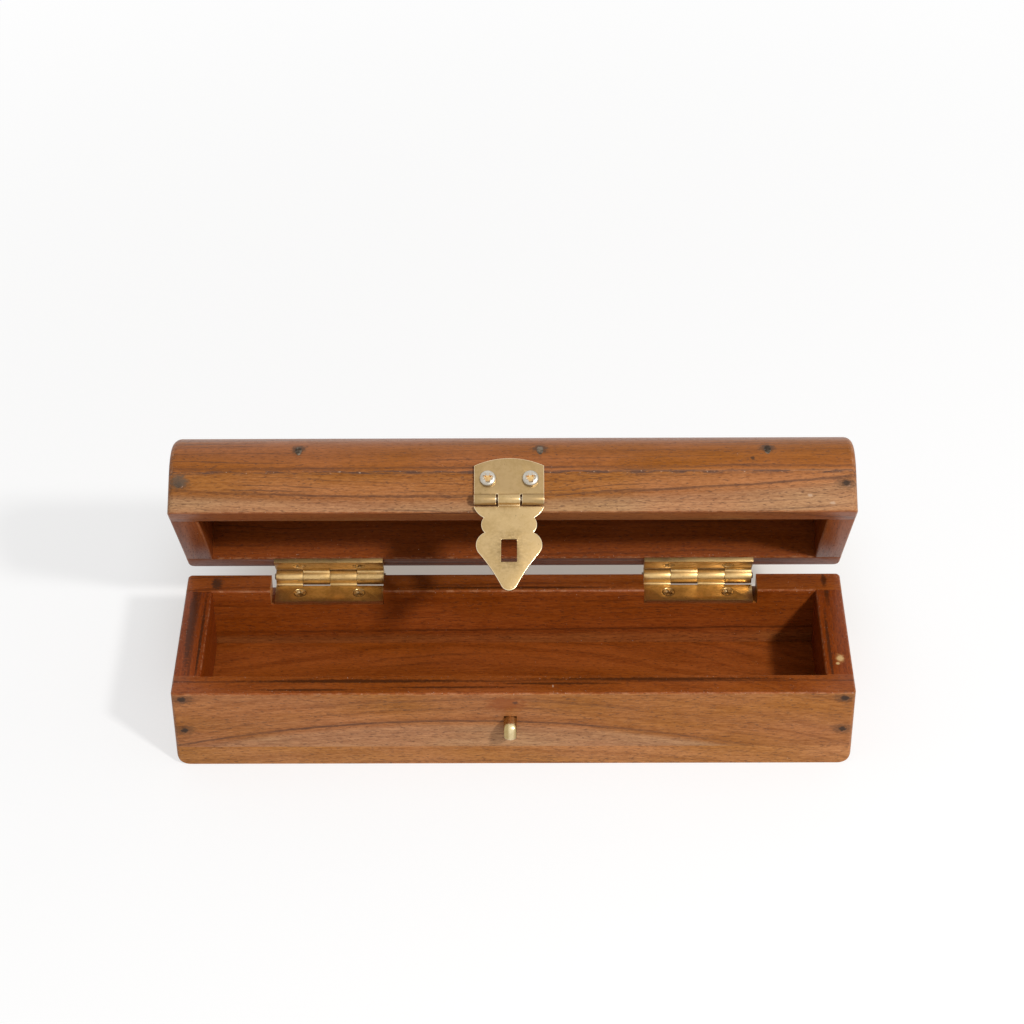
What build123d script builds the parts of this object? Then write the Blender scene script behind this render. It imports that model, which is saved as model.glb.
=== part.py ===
from build123d import *
import os
from math import cos, hypot, pi

# A nailed wooden pencil box: a shallow tray, a domed lid on two brass butt hinges, and a
# brass hasp whose flap drops over a staple. Millimetres, +Z up, the front of the box on -Y,
# with the origin at the centre of the tray's underside. The lid stands open at rest.

# The box as a whole
BOX_LENGTH = 229.0
BOX_DEPTH = 63.5
TRAY_HEIGHT = 31.6
LID_ANGLE = 55.1  # how far the lid stands open, in degrees
RIM_GAP = 0.1  # between the rims of tray and lid when shut

# Boards
LONG_WALL = 9.5
END_WALL = 9.3
BASE_THICKNESS = 7.9
LID_WALL_HEIGHT = 14.0
DOME_RISE = 19.9  # crown of the lid above the flat underside of its top board
SHOULDER_RADIUS = 16.0  # of the dome along its long edges

# Edges, rounded after the boards were nailed together
CORNER_ROUND = 1.5
BASE_END_ROUND = 4.5
DOME_END_ROUND = 2.4
RIM_EASE = 0.5
WELL_EASE = 0.5

# Butt hinges
HINGE_FROM_END = 49.75  # a hinge's middle from its end of the box
HINGE_LENGTH = 38.0
KNUCKLE_RADIUS = 3.0
KNUCKLE_COUNT = 4
KNUCKLE_GAP = 0.16
KNUCKLE_FILLET = 1.1
HINGE_SETBACK = 2.4  # pin axis behind the outer face of the back board
LEAF_THICKNESS = 1.5
LEAF_CLEARANCE = 0.4  # from a leaf's edge to the other leaf's knuckles
PIN_RADIUS = 1.2
PIN_END = 0.6  # stands out past the last knuckle
NOTCH_SLACK_INNER = 0.15
NOTCH_SLACK_OUTER = 1.4

# Countersunk hinge screws
LEAF_SCREW_SPACING = 20.75
LEAF_SCREW_INSET = 5.0  # from the outer face of the back board
LEAF_HEAD_RADIUS = 2.35
LEAF_HEAD_LAND = 0.1  # straight rim above the head's 45 degree slope
LEAF_SHANK_RADIUS = 1.2
LEAF_SCREW_LENGTH = 11.0

# Hasp
HASP_X = -1.0
HASP_WIDTH = 23.2
HASP_THICKNESS = 1.0
HASP_PIN_HEIGHT = 3.8  # above the rim of the lid
HASP_PIN_STANDOFF = 2.15  # in front of the lid's front face
HASP_KNUCKLE_RADIUS = 1.85
HASP_KNUCKLE_GAP = 0.7
HASP_PIN_RADIUS = 0.8
HASP_CLEARANCE = 0.3  # from one plate's edge to the other's knuckle
PLATE_SHOULDER = 12.1  # above the pin
PLATE_CROWN = 14.7

# The flap's outline: half-widths, each with its drop below the pin
WING_HALF = 11.7
WING_CURVE = (10.75, 4.0)
WAIST = (8.35, 6.1)
BEAD = (9.2, 8.65)
NECK = (8.05, 11.3)
LOBE = (10.9, 15.35)
LOBE_END = (9.6, 18.9)
OGEE = (5.5, 24.6)
TIP_SIDE = (2.5, 29.9)
TIP_DROP = 31.4
SLOT_DROP = 17.6
SLOT_WIDTH = 5.2
SLOT_HEIGHT = 7.9
FLAP_BACK_GAP = 0.3  # to the lid's front face, at the pin
FLAP_LEAN = 3.0  # degrees that the hanging flap stands out, so that it rides over the staple

# Pan-head hasp screws
HASP_SCREW_SPACING = 14.2
HASP_SCREW_RISE = 7.5  # above the pin
PAN_HEAD_RADIUS = 2.75
PAN_HEAD_HEIGHT = 1.5
PAN_HEAD_SLOPE = 0.8  # of the bevel round the head's top
PAN_SHANK_RADIUS = 1.3
PAN_SCREW_LENGTH = 8.0

# Cross recess of every screw
CROSS_LENGTH = 2.7
CROSS_WIDTH = 0.75
CROSS_DEPTH = 0.8

SCREW_SIDES = 10  # of the flat-sided rounds that screws are drawn with
NAIL_SIDES = 6  # of nail heads

# Staple
STAPLE_WIDTH = 4.3
STAPLE_THICKNESS = 1.4
STAPLE_PLAY = 0.35  # above and below it in the slot
STAPLE_REACH = 5.9  # in front of the tray
STAPLE_LEG = 7.0  # inside the front board
STAPLE_BEND = 2.9

# Cut nails, square below the head
NAIL_HEAD_RADIUS = 1.5
NAIL_HEAD_DEPTH = 0.8
NAIL_SHANK = 1.6
NAIL_LENGTH = 22.0
LID_NAIL_LENGTH = 18.0
NAIL_END_INSET = 3.7  # from the ends of the box
TRAY_NAIL_TOP = 2.2  # upper nails below the tray's rim
TRAY_NAIL_SPACING = 13.9
LID_NAIL_RISE = 9.9  # above the rim of the lid
BASE_NAIL_SPACING = 55.0  # four along each long board
TOP_NAIL_INSET = 2.5  # from the faces of the long boards
TOP_NAIL_RADIUS = 1.1
TOP_NAIL_DEPTH = 11.0  # below the seam of the top board
TOP_NAIL_FROM_LEFT = 43.1
TOP_NAIL_MIDDLE = 9.3
TOP_NAIL_FROM_RIGHT = 29.3

# Clearances
PIN_FIT = 0.05  # round a hinge pin, on the radius
HOLE_FIT = 0.03  # round a nail, screw or staple leg
NEAR = 1e-4  # finds an edge on its plane

# What follows from the sizes above
HALF_LENGTH = BOX_LENGTH / 2
HALF_DEPTH = BOX_DEPTH / 2
WELL_HALF_LENGTH = HALF_LENGTH - END_WALL
WELL_HALF_DEPTH = HALF_DEPTH - LONG_WALL
HINGE_SPREAD = BOX_LENGTH - 2 * HINGE_FROM_END
LID_RIM = TRAY_HEIGHT + RIM_GAP
LID_SEAM = LID_RIM + LID_WALL_HEIGHT
LID_CROWN = LID_SEAM + DOME_RISE
HINGE_Y = HALF_DEPTH + HINGE_SETBACK
HINGE_Z = LID_RIM - KNUCKLE_RADIUS
NOTCH_FLOOR = HINGE_Z - KNUCKLE_RADIUS
LEAF_REACH = HINGE_SETBACK + LONG_WALL  # from the pin to the leaf's inner edge
LEAF_FACE = KNUCKLE_RADIUS - LEAF_THICKNESS  # from the pin's level to the leaf's open face
LEAF_EDGE = KNUCKLE_RADIUS + LEAF_CLEARANCE
HASP_PIN_Y = -HALF_DEPTH - HASP_PIN_STANDOFF
HASP_PIN_Z = LID_RIM + HASP_PIN_HEIGHT
HASP_EDGE_DROP = HASP_KNUCKLE_RADIUS + HASP_CLEARANCE
STAPLE_Z = HASP_PIN_Z - SLOT_DROP
STAPLE_HEIGHT = SLOT_HEIGHT - 2 * STAPLE_PLAY
SCREW_FLAT = cos(pi / SCREW_SIDES)  # from a screw's middle to its flats, as a share of its radius


def block(x_range, y_range, z_range):
    """A plain board between three pairs of faces."""
    low, high = zip(x_range, y_range, z_range)
    size = [b - a for a, b in zip(low, high)]
    centre = [(a + b) / 2 for a, b in zip(low, high)]
    return Pos(*centre) * Box(*size)


def edges_on(shape, direction, **planes):
    """The straight edges that run along an axis and lie on the given X, Y or Z planes."""
    picked = shape.edges().filter_by(direction)
    for name, place in planes.items():
        picked = picked.filter_by(lambda edge: abs(getattr(edge.center(), name) - place) < NEAR)
    return picked


def opened(piece):
    """Swing a piece of the shut lid back about the hinge pins, to where it rests."""
    return Pos(0, HINGE_Y, HINGE_Z) * Rot(-LID_ANGLE, 0, 0) * Pos(0, -HINGE_Y, -HINGE_Z) * piece


def prism(radius, sides, low, high):
    """A flat-sided round bar along Z between two levels."""
    return extrude(Plane.XY.offset(low) * RegularPolygon(radius, sides), amount=high - low)


def placed(piece, point, outward):
    """Put a piece that is drawn along +Z at a point, with +Z turned to the outward direction."""
    return Plane(origin=point, z_dir=outward).location * piece


# --- Boards ---------------------------------------------------------------------------------


def tray_outside():
    """The sanded outside of the whole tray."""
    plan = extrude(RectangleRounded(BOX_LENGTH, BOX_DEPTH, CORNER_ROUND), amount=TRAY_HEIGHT)
    plan = chamfer(plan.faces().sort_by(Axis.Z)[-1].edges(), RIM_EASE)
    elevation = block((-HALF_LENGTH, HALF_LENGTH), (-HALF_DEPTH, HALF_DEPTH), (0, TRAY_HEIGHT))
    return plan & fillet(edges_on(elevation, Axis.Y, Z=0), BASE_END_ROUND)


def dome_section():
    """The shut lid's end view: straight walls, round shoulders and a flatter crown."""
    run = HALF_DEPTH - SHOULDER_RADIUS
    crown_radius = (run**2 + DOME_RISE**2 - SHOULDER_RADIUS**2) / (2 * (DOME_RISE - SHOULDER_RADIUS))
    crown_drop = crown_radius - DOME_RISE
    share = SHOULDER_RADIUS / hypot(run, crown_drop)
    join = (run + run * share, LID_SEAM + crown_drop * share)
    shoulder = CenterArc((run, LID_SEAM), SHOULDER_RADIUS, 0, degrees_up(join[0] - run, join[1] - LID_SEAM))
    crown = ThreePointArc(join, (0, LID_CROWN), (-join[0], join[1]))
    rim = Polyline((-HALF_DEPTH, LID_SEAM), (-HALF_DEPTH, LID_RIM), (HALF_DEPTH, LID_RIM), (HALF_DEPTH, LID_SEAM))
    return make_face([rim, shoulder, crown, mirror(shoulder, about=Plane.YZ)])


def degrees_up(run, rise):
    """The angle of a slope above level."""
    return Vector(1, 0, 0).get_angle(Vector(run, rise, 0))


def lid_outside():
    """The sanded outside of the whole lid, shut."""
    section = Plane.YZ.offset(-HALF_LENGTH) * dome_section()
    body = extrude(section, amount=BOX_LENGTH)
    for end in (-HALF_LENGTH, HALF_LENGTH):
        outline = body.edges().filter_by(lambda edge: abs(edge.center().X - end) < NEAR)
        rim = edges_on(body, Axis.Y, X=end, Z=LID_RIM)
        body = fillet([edge for edge in outline if edge not in rim], DOME_END_ROUND)
    return chamfer(body.faces().sort_by(Axis.Z)[0].edges(), RIM_EASE)


def well_easing(rim, towards):
    """What is sanded off the inner edges of the rim: a shallow frustum, wider at the rim."""
    mouth = Rectangle(2 * (WELL_HALF_LENGTH + WELL_EASE), 2 * (WELL_HALF_DEPTH + WELL_EASE))
    throat = Rectangle(2 * WELL_HALF_LENGTH, 2 * WELL_HALF_DEPTH)
    return loft([Pos(0, 0, rim) * mouth, Pos(0, 0, rim + towards * WELL_EASE) * throat])


def wall_boards(low, high, outside, easing):
    """The four walls between two levels: long boards run through, end boards fit between."""
    full = (-HALF_LENGTH, HALF_LENGTH)
    between = (-WELL_HALF_DEPTH, WELL_HALF_DEPTH)
    blanks = {
        "front_board": block(full, (-HALF_DEPTH, -WELL_HALF_DEPTH), (low, high)),
        "back_board": block(full, (WELL_HALF_DEPTH, HALF_DEPTH), (low, high)),
        "left_end": block((-HALF_LENGTH, -WELL_HALF_LENGTH), between, (low, high)),
        "right_end": block((WELL_HALF_LENGTH, HALF_LENGTH), between, (low, high)),
    }
    return {name: (blank & outside) - easing for name, blank in blanks.items()}


def hinge_notches():
    """The two cut-outs in the tray's back board that take the shut hinges."""
    inner = HINGE_SPREAD / 2 - HINGE_LENGTH / 2 - NOTCH_SLACK_INNER
    outer = HINGE_SPREAD / 2 + HINGE_LENGTH / 2 + NOTCH_SLACK_OUTER
    depth = (WELL_HALF_DEPTH - WELL_EASE, HALF_DEPTH + WELL_EASE)
    height = (NOTCH_FLOOR, TRAY_HEIGHT + WELL_EASE)
    return [block((-outer, -inner), depth, height), block((inner, outer), depth, height)]


# --- Nails and screws -----------------------------------------------------------------------


def nail(length, fit=0.0):
    """A flush cut nail, its head's face at the origin and its point down -Z."""
    width = NAIL_SHANK + 2 * fit
    head = prism(NAIL_HEAD_RADIUS + fit, NAIL_SIDES, -NAIL_HEAD_DEPTH - fit, fit)
    return head + Pos(0, 0, -(length + fit) / 2) * Box(width, width, length + fit)


def corner_nails(side, heights, length, fit=0.0):
    """Nails through one long board into the end boards; side is -1 at the front, 1 at the back."""
    nails = []
    for x in (-HALF_LENGTH + NAIL_END_INSET, HALF_LENGTH - NAIL_END_INSET):
        for z in heights:
            nails.append(placed(nail(length, fit), (x, side * HALF_DEPTH, z), (0, side, 0)))
    return nails


def base_nails(fit=0.0):
    """Nails up through the base board into the front and back boards."""
    nails = []
    for y in (-HALF_DEPTH + LONG_WALL / 2, HALF_DEPTH - LONG_WALL / 2):
        for step in (-1.5, -0.5, 0.5, 1.5):
            nails.append(placed(nail(NAIL_LENGTH, fit), (step * BASE_NAIL_SPACING, y, 0), (0, 0, -1)))
    return nails


def top_nails(outside, fit=0.0):
    """Nails down through the top board into the long boards, sanded flush with the dome."""
    shank = prism(TOP_NAIL_RADIUS + fit, NAIL_SIDES, LID_SEAM - TOP_NAIL_DEPTH - fit, LID_CROWN)
    nails = []
    for y in (-HALF_DEPTH + TOP_NAIL_INSET, HALF_DEPTH - TOP_NAIL_INSET):
        for x in (-HALF_LENGTH + TOP_NAIL_FROM_LEFT, TOP_NAIL_MIDDLE, HALF_LENGTH - TOP_NAIL_FROM_RIGHT):
            nails.append((Pos(x, y, 0) * shank) & outside)
    return nails


def cross_recess():
    """The cross cut into a screw's head, its mouth at the origin."""
    arm = Box(CROSS_LENGTH, CROSS_WIDTH, 2 * CROSS_DEPTH)
    return arm + Rot(0, 0, 90) * arm


def leaf_screw(fit=0.0):
    """A countersunk screw, its head's face at the origin and its point down -Z."""
    slope = (LEAF_HEAD_RADIUS - LEAF_SHANK_RADIUS) * SCREW_FLAT
    under = -LEAF_HEAD_LAND - slope
    head = prism(LEAF_HEAD_RADIUS + fit, SCREW_SIDES, under, 0)
    head = chamfer(head.faces().sort_by(Axis.Z)[0].edges(), slope)
    return head + prism(LEAF_SHANK_RADIUS + fit, SCREW_SIDES, -LEAF_SCREW_LENGTH - fit, under)


def leaf_screw_points(level):
    """Where the hinge screws go, at a level above or below the leaves."""
    y = HALF_DEPTH - LEAF_SCREW_INSET
    middles = (-HINGE_SPREAD / 2, HINGE_SPREAD / 2)
    return [(m + s * LEAF_SCREW_SPACING / 2, y, level) for m in middles for s in (-1, 1)]


def leaf_screws(level, outward, fit=0.0):
    """The four screws of the tray's or the lid's leaves."""
    return [placed(leaf_screw(fit), point, outward) for point in leaf_screw_points(level)]


def hasp_screws(fit=0.0):
    """The two pan-head screws of the hasp plate, shut."""
    head = prism(PAN_HEAD_RADIUS, SCREW_SIDES, 0, PAN_HEAD_HEIGHT)
    head = chamfer(head.faces().sort_by(Axis.Z)[-1].edges(), PAN_HEAD_SLOPE)
    shank = prism(PAN_SHANK_RADIUS + fit, SCREW_SIDES, -PAN_SCREW_LENGTH - fit, 0)
    screw = head + shank - Pos(0, 0, PAN_HEAD_HEIGHT) * cross_recess()
    z = HASP_PIN_Z + HASP_SCREW_RISE
    points = [(HASP_X + s * HASP_SCREW_SPACING / 2, -HALF_DEPTH - HASP_THICKNESS, z) for s in (-1, 1)]
    return [placed(screw, point, (0, -1, 0)) for point in points]


# --- Butt hinges ----------------------------------------------------------------------------


def knuckle_section():
    """A tray knuckle from its end, pin at the origin, with the foot that joins it to its leaf."""
    length = LEAF_EDGE + KNUCKLE_FILLET
    foot = Pos(-length / 2, -KNUCKLE_RADIUS + LEAF_THICKNESS / 2) * Rectangle(length, LEAF_THICKNESS)
    outline = Circle(KNUCKLE_RADIUS) + foot
    crook = outline.vertices().filter_by(lambda v: abs(v.Y + LEAF_FACE) < NEAR and v.X > NEAR - length)
    return fillet(crook, KNUCKLE_FILLET)


def hinge_leaf(first_knuckle):
    """A tray leaf about its pin: a plate and every other knuckle, from the first one named."""
    half = HINGE_LENGTH / 2
    pitch = HINGE_LENGTH / KNUCKLE_COUNT
    leaf = block((-half, half), (-LEAF_REACH, -LEAF_EDGE), (-KNUCKLE_RADIUS, -LEAF_FACE))
    knuckle = extrude(Plane.YZ * knuckle_section(), amount=pitch - KNUCKLE_GAP)
    for place in range(first_knuckle, KNUCKLE_COUNT, 2):
        leaf += Pos(-half + place * pitch + KNUCKLE_GAP / 2, 0, 0) * knuckle
    return leaf - Rot(0, 90, 0) * Cylinder(PIN_RADIUS + PIN_FIT, HINGE_LENGTH)


def hinge_middle(side):
    """The middle of a hinge pin; side is -1 for the left hinge, 1 for the right."""
    return Pos(side * HINGE_SPREAD / 2, HINGE_Y, HINGE_Z)


def tray_leaf(side):
    """The lower leaf of a hinge, screwed down into its notch."""
    leaf = hinge_middle(side) * hinge_leaf(0)
    return leaf - leaf_screws(HINGE_Z - LEAF_FACE, (0, 0, 1), HOLE_FIT)


def lid_leaf(side):
    """The upper leaf of a hinge, screwed up against the lid's rim, shut."""
    leaf = hinge_middle(side) * mirror(hinge_leaf(1), about=Plane.XY)
    return leaf - leaf_screws(HINGE_Z + LEAF_FACE, (0, 0, -1), HOLE_FIT)


def hinge_pin(side):
    """The pin that both leaves turn on."""
    return hinge_middle(side) * Rot(0, 90, 0) * Cylinder(PIN_RADIUS, HINGE_LENGTH + 2 * PIN_END)


# --- Hasp -----------------------------------------------------------------------------------


def hasp_sheet(outline, back):
    """A flat plate of the hasp; back is how far its rear face lies behind the pin."""
    return extrude(Plane.XZ.offset(-back) * outline, amount=HASP_THICKNESS)


def hasp_knuckle(place):
    """One of the hasp's three knuckles, 0 to 2 from the left, with its bore left solid."""
    pitch = (HASP_WIDTH + HASP_KNUCKLE_GAP) / 3
    x = (place - 1) * pitch
    return Pos(x, 0, 0) * Rot(0, 90, 0) * Cylinder(HASP_KNUCKLE_RADIUS, pitch - HASP_KNUCKLE_GAP)


def knuckle_tab(place, back, reach):
    """The strip that joins a plate to its knuckle; reach is signed, above or below the pin."""
    pitch = (HASP_WIDTH + HASP_KNUCKLE_GAP) / 3
    half = (pitch - HASP_KNUCKLE_GAP) / 2
    x = (place - 1) * pitch
    return block((x - half, x + half), (back - HASP_THICKNESS, back), sorted((0, reach)))


def hasp_bore():
    """The bore through all three knuckles."""
    return Rot(0, 90, 0) * Cylinder(HASP_PIN_RADIUS + PIN_FIT, HASP_WIDTH)


def hasp_middle():
    """The middle of the hasp's pin, shut."""
    return Pos(HASP_X, HASP_PIN_Y, HASP_PIN_Z)


def hasp_plate():
    """The arched plate that is screwed to the lid's front board, shut."""
    half = HASP_WIDTH / 2
    sides = Polyline((half, PLATE_SHOULDER), (half, HASP_EDGE_DROP), (-half, HASP_EDGE_DROP), (-half, PLATE_SHOULDER))
    arch = ThreePointArc((-half, PLATE_SHOULDER), (0, PLATE_CROWN), (half, PLATE_SHOULDER))
    plate = hasp_sheet(make_face([sides, arch]), HASP_PIN_STANDOFF)
    for place in (0, 2):
        plate += knuckle_tab(place, HASP_PIN_STANDOFF, HASP_EDGE_DROP) + hasp_knuckle(place)
    plate -= hasp_bore()
    return hasp_middle() * plate - hasp_screws(HOLE_FIT)


def flap_outline():
    """The flap from the front: wings, a waist, a bead, a neck, and a lobe drawn to a round tip."""

    def at(corner, side=1):
        return (side * corner[0], -corner[1])

    top = (WING_HALF, HASP_EDGE_DROP)
    right = [
        ThreePointArc(at(top), at(WING_CURVE), at(WAIST)),
        ThreePointArc(at(WAIST), at(BEAD), at(NECK)),
        ThreePointArc(at(NECK), at(LOBE), at(LOBE_END)),
        ThreePointArc(at(LOBE_END), at(OGEE), at(TIP_SIDE)),
    ]
    left = [mirror(arc, about=Plane.YZ) for arc in right]
    tip = ThreePointArc(at(TIP_SIDE), (0, -TIP_DROP), at(TIP_SIDE, -1))
    return make_face([Line(at(top, -1), at(top)), *right, tip, *left])


def hasp_flap():
    """The flap that swings on the hasp's pin, with the slot that takes the staple, shut."""
    slot = Pos(0, -SLOT_DROP) * Rectangle(SLOT_WIDTH, SLOT_HEIGHT)
    back = HASP_PIN_STANDOFF - FLAP_BACK_GAP
    flap = hasp_sheet(flap_outline() - slot, back)
    flap += knuckle_tab(1, back, -HASP_EDGE_DROP) + hasp_knuckle(1)
    return hasp_middle() * Rot(-FLAP_LEAN, 0, 0) * (flap - hasp_bore())


def hasp_pin():
    """The pin of the hasp, flush with its outer knuckles, shut."""
    return hasp_middle() * Rot(0, 90, 0) * Cylinder(HASP_PIN_RADIUS, HASP_WIDTH)


# --- Staple ---------------------------------------------------------------------------------


def staple(fit=0.0):
    """The staple that the hasp's slot drops over: a U of strip on its side, legs in the wood."""
    outer_half = STAPLE_HEIGHT / 2 + fit
    inner_half = STAPLE_HEIGHT / 2 - STAPLE_THICKNESS - fit
    front = -HALF_DEPTH - STAPLE_REACH
    back = -HALF_DEPTH + STAPLE_LEG
    width = (HASP_X - STAPLE_WIDTH / 2 - fit, HASP_X + STAPLE_WIDTH / 2 + fit)
    outer = block(width, (front, back + fit), (STAPLE_Z - outer_half, STAPLE_Z + outer_half))
    outer = fillet(edges_on(outer, Axis.X, Y=front), min(STAPLE_BEND, outer_half * 0.9))
    eye_front = front + STAPLE_THICKNESS + fit
    eye = block(width, (eye_front, back + fit), (STAPLE_Z - inner_half, STAPLE_Z + inner_half))
    eye = fillet(edges_on(eye, Axis.X, Y=eye_front), min(STAPLE_BEND - STAPLE_THICKNESS, inner_half * 0.9))
    return outer - eye


# --- The assembly ---------------------------------------------------------------------------


def tray_pieces():
    """Every piece that stays with the tray."""
    outside = tray_outside()
    walls = wall_boards(BASE_THICKNESS, TRAY_HEIGHT, outside, well_easing(TRAY_HEIGHT, -1))
    base = block((-HALF_LENGTH, HALF_LENGTH), (-HALF_DEPTH, HALF_DEPTH), (0, BASE_THICKNESS)) & outside
    high = TRAY_HEIGHT - TRAY_NAIL_TOP
    heights = (high, high - TRAY_NAIL_SPACING)
    front_holes = corner_nails(-1, heights, NAIL_LENGTH, HOLE_FIT)
    back_holes = corner_nails(1, heights, NAIL_LENGTH, HOLE_FIT)
    base_holes = base_nails(HOLE_FIT)
    screw_holes = leaf_screws(HINGE_Z - LEAF_FACE, (0, 0, 1), HOLE_FIT)
    screws = [screw - placed(cross_recess(), point, (0, 0, 1)) for screw, point in
              zip(leaf_screws(HINGE_Z - LEAF_FACE, (0, 0, 1)), leaf_screw_points(HINGE_Z - LEAF_FACE))]
    return {
        "tray_front_board": walls["front_board"] - front_holes - base_holes - staple(HOLE_FIT),
        "tray_back_board": walls["back_board"] - hinge_notches() - back_holes - base_holes - screw_holes,
        "tray_left_end": walls["left_end"] - front_holes - back_holes,
        "tray_right_end": walls["right_end"] - front_holes - back_holes,
        "tray_base_board": base - base_holes,
        "tray_front_nails": corner_nails(-1, heights, NAIL_LENGTH),
        "tray_back_nails": corner_nails(1, heights, NAIL_LENGTH),
        "tray_base_nails": base_nails(),
        "staple": staple(),
        "left_hinge_tray_leaf": tray_leaf(-1),
        "right_hinge_tray_leaf": tray_leaf(1),
        "left_hinge_pin": hinge_pin(-1),
        "right_hinge_pin": hinge_pin(1),
        "tray_leaf_screws": screws,
    }


def lid_pieces():
    """Every piece that swings with the lid, and the flap, all drawn shut."""
    outside = lid_outside()
    walls = wall_boards(LID_RIM, LID_SEAM, outside, well_easing(LID_RIM, 1))
    top = block((-HALF_LENGTH, HALF_LENGTH), (-HALF_DEPTH, HALF_DEPTH), (LID_SEAM, LID_CROWN)) & outside
    heights = (LID_RIM + LID_NAIL_RISE,)
    front_holes = corner_nails(-1, heights, LID_NAIL_LENGTH, HOLE_FIT)
    back_holes = corner_nails(1, heights, LID_NAIL_LENGTH, HOLE_FIT)
    top_holes = top_nails(outside, HOLE_FIT)
    screw_holes = leaf_screws(HINGE_Z + LEAF_FACE, (0, 0, -1), HOLE_FIT)
    screws = [screw - placed(cross_recess(), point, (0, 0, -1)) for screw, point in
              zip(leaf_screws(HINGE_Z + LEAF_FACE, (0, 0, -1)), leaf_screw_points(HINGE_Z + LEAF_FACE))]
    return {
        "lid_front_board": walls["front_board"] - front_holes - top_holes - hasp_screws(HOLE_FIT),
        "lid_back_board": walls["back_board"] - back_holes - top_holes - screw_holes,
        "lid_left_end": walls["left_end"] - front_holes - back_holes,
        "lid_right_end": walls["right_end"] - front_holes - back_holes,
        "lid_top_board": top - top_holes,
        "lid_front_nails": corner_nails(-1, heights, LID_NAIL_LENGTH),
        "lid_back_nails": corner_nails(1, heights, LID_NAIL_LENGTH),
        "lid_top_nails": top_nails(outside),
        "left_hinge_lid_leaf": lid_leaf(-1),
        "right_hinge_lid_leaf": lid_leaf(1),
        "lid_leaf_screws": screws,
        "hasp_plate": hasp_plate(),
        "hasp_pin": hasp_pin(),
        "hasp_screws": hasp_screws(),
        "hasp_flap": hasp_flap(),
    }


def grouped(piece):
    """One shape for export: a single piece as it is, or a list of like pieces together."""
    return Compound(children=piece) if isinstance(piece, list) else piece


os.makedirs("parts", exist_ok=True)
for name, piece in tray_pieces().items():
    export_step(grouped(piece), f"parts/{name}.step")
for name, piece in lid_pieces().items():
    export_step(opened(grouped(piece)), f"parts/{name}.step")
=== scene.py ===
from math import asin, cos, pi, radians, sin

import bpy
from mathutils import Matrix, Vector


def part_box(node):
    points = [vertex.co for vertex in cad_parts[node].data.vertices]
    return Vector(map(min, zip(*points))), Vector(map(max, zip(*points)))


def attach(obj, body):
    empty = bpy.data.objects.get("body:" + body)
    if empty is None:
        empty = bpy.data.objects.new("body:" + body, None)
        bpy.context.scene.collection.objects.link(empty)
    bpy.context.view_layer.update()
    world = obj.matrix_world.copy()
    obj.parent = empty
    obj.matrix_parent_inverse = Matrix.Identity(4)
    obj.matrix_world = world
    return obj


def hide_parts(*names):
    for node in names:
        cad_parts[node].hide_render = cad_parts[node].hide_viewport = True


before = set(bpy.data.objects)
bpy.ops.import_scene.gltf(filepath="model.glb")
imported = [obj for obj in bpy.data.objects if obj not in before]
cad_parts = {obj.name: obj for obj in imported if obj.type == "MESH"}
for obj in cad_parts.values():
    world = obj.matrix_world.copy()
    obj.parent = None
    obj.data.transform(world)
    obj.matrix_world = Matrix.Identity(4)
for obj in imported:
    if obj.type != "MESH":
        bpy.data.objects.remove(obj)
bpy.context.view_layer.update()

# The looks of a nailed hardwood pencil box with a domed lid, brass butt hinges and a brass
# hasp. Metres, the front of the box on -Y. The lid rests open, so what is made for it is made
# shut and then swung back about the hinge pins.

MM = 0.001
HALF_LENGTH = 114.5
HALF_DEPTH = 31.75
WELL_HALF_LENGTH = 105.2
WELL_HALF_DEPTH = 22.25
BASE_THICKNESS = 7.9
TRAY_HEIGHT = 31.6
LID_RIM = 31.7
LID_SEAM = 45.7
LID_CROWN = 65.6
LID_ANGLE = radians(55.1)
HINGE = Vector((0, 34.15, 28.7))
HINGE_MIDDLE = 64.75
HASP_X = -1.0
HASP_PIN_Z = 35.5
HASP_SCREW_SPREAD = 7.1
HASP_SCREW_RISE = 7.5
PLATE_FACE = 1.0  # in front of the lid's front board
LEAF_SCREW_SPREAD = 10.375
LEAF_SCREW_INSET = 5.0
LEAF_THICKNESS = 1.5
BASE_NAIL_SPACING = 55.0
BASE_NAIL_Y = 27.0
BASE_NAIL_DEPTH = 0.13  # keeps the heads above the floor
TOP_NAIL_Y = 29.25
NAIL_INSET = 3.7
SHEET_EDGE = 0.34
LEAF_EDGE = 0.16
SLOT_REACH, SLOT_BESIDE = 4.6, 2.9  # how far round the slot's middle its own edges lie

# On the resting flap: the middle of its slot, and the way up from there to its pin
SLOT = Vector((-1.0, -13.4, 77.95))
FLAP_UP = Vector((0, -0.53, 0.85))

# From the rest pose to the shut lid, and back
TURN = Matrix.Rotation(LID_ANGLE, 4, "X")
SHUT = Matrix.Translation(HINGE * MM) @ TURN @ Matrix.Translation(-HINGE * MM)
OPENED = SHUT.inverted()


# --- Modelling helpers ----------------------------------------------------------------------


def put_down():
    """Leave edit mode with nothing selected."""
    if bpy.context.object and bpy.context.object.mode != "OBJECT":
        bpy.ops.object.mode_set(mode="OBJECT")
    bpy.ops.object.select_all(action="DESELECT")


def take_up(*pieces):
    """Select these pieces alone, the first one active."""
    put_down()
    for piece in pieces:
        piece.select_set(True)
    bpy.context.view_layer.objects.active = pieces[0]


def edit(piece, kind="VERT", action="SELECT"):
    """Open a piece in edit mode with everything in it selected, or nothing."""
    take_up(piece)
    bpy.ops.object.mode_set(mode="EDIT")
    bpy.ops.mesh.select_mode(type=kind)
    bpy.ops.mesh.select_all(action=action)


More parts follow.
